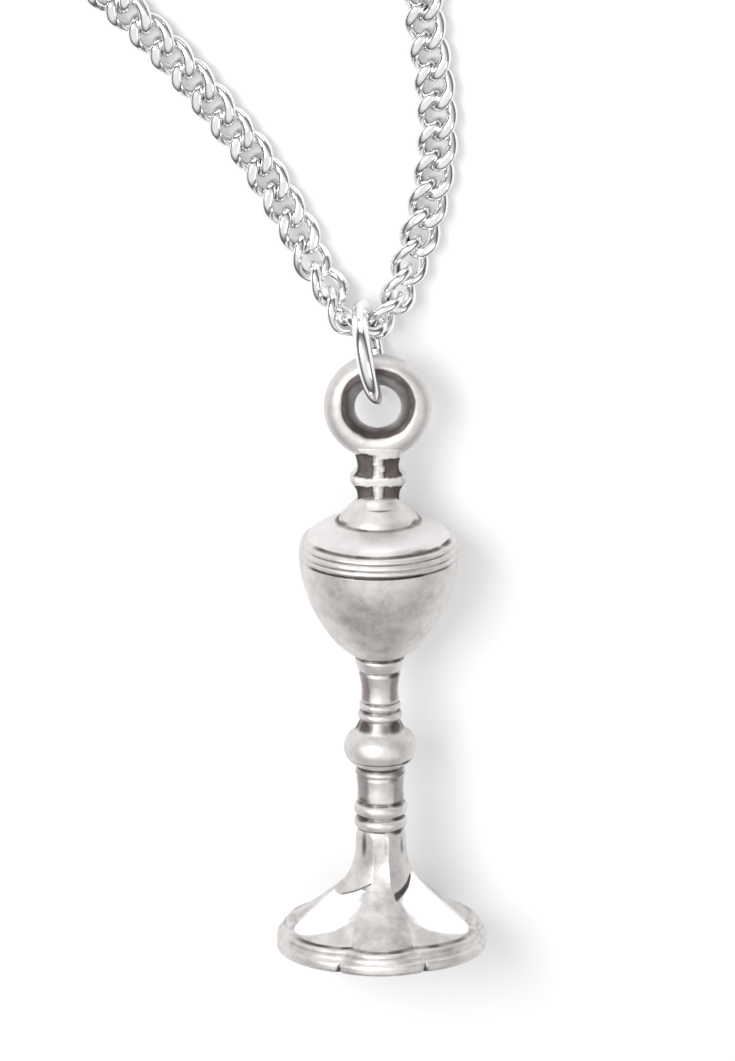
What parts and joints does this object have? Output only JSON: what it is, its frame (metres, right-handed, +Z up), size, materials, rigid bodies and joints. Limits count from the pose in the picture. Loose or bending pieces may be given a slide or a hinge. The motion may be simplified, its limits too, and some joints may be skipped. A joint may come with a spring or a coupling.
{
  "type": "ciborium pendant",
  "caption": "Small cast-silver ciborium pendant with an eye, a jump ring and a curb neck chain laid in a V, its spare length coiled with a spring ring clasp.",
  "frame": {"origin": "middle of the table under the casting and its jump ring", "axes": "+Z up from the table, +Y from the casting's foot to its eye and on along the chain, +X to the viewer's right"},
  "size_m": [0.0272, 0.0734, 0.0099],
  "materials": {
    "antiqued_silver": "satin, darkened in the recesses",
    "bright_silver": "polished"
  },
  "bodies": {
    "chain": {"chain_link_01": "bright_silver", "chain_link_02": "bright_silver", "chain_link_03": "bright_silver", "chain_link_04": "bright_silver", "chain_link_05": "bright_silver", "chain_link_06": "bright_silver", "chain_link_07": "bright_silver", "chain_link_08": "bright_silver", "chain_link_09": "bright_silver", "chain_link_10": "bright_silver", "chain_link_11": "bright_silver", "chain_link_12": "bright_silver", "chain_link_13": "bright_silver", "chain_link_14": "bright_silver", "chain_link_15": "bright_silver", "chain_link_16": "bright_silver", "chain_link_17": "bright_silver", "chain_link_18": "bright_silver", "chain_link_19": "bright_silver", "chain_link_20": "bright_silver", "chain_link_21": "bright_silver", "chain_link_22": "bright_silver", "chain_link_23": "bright_silver", "chain_link_24": "bright_silver", "chain_link_25": "bright_silver", "chain_link_26": "bright_silver", "chain_link_27": "bright_silver", "chain_link_28": "bright_silver", "chain_link_29": "bright_silver", "chain_link_30": "bright_silver", "chain_link_31": "bright_silver", "chain_link_32": "bright_silver", "chain_coil": "bright_silver", "clasp_housing": "bright_silver"},
    "jump_ring": {"pendant_jump_ring": "bright_silver"},
    "pendant": {"ciborium_casting": "antiqued_silver"},
    "bolt": {"clasp_bolt": "bright_silver"},
    "clasp_end_ring": {"clasp_ring": "bright_silver"},
    "catch": {"catch_ring": "bright_silver"}
  },
  "joints": [
    {"name": "ring_lift", "type": "hinge", "parent": "chain", "child": "jump_ring", "pos_m": [-0.0005, 0.0137, 0.0014], "axis": [-0.977, -0.2, -0.074], "range_deg": [0, 40]},
    {"name": "pendant_swing", "type": "hinge", "parent": "jump_ring", "child": "pendant", "pos_m": [0, 0.01054, 0.00313], "axis": [0, 0.0699, 0.9976], "range_deg": [-60, 60]},
    {"name": "bolt_pull", "type": "hinge", "parent": "chain", "child": "bolt", "pos_m": [-0.00705, 0.0455, 0.00108], "axis": [0, 0, 1], "range_deg": [-66, 0], "stiffness_Nm_per_rad": 0.0002, "springref_deg": 17.19},
    {"name": "clasp_ring_swivel", "type": "hinge", "parent": "chain", "child": "clasp_end_ring", "pos_m": [-0.01047, 0.0455, 0.00108], "axis": [0, 0, 1], "range_deg": [-25, 25]},
    {"name": "catch_ring_slide_round", "type": "hinge", "parent": "chain", "child": "catch", "pos_m": [-0.00705, 0.0455, 0.00108], "axis": [0, 0, 1], "range_deg": [-55, 8]}
  ]
}
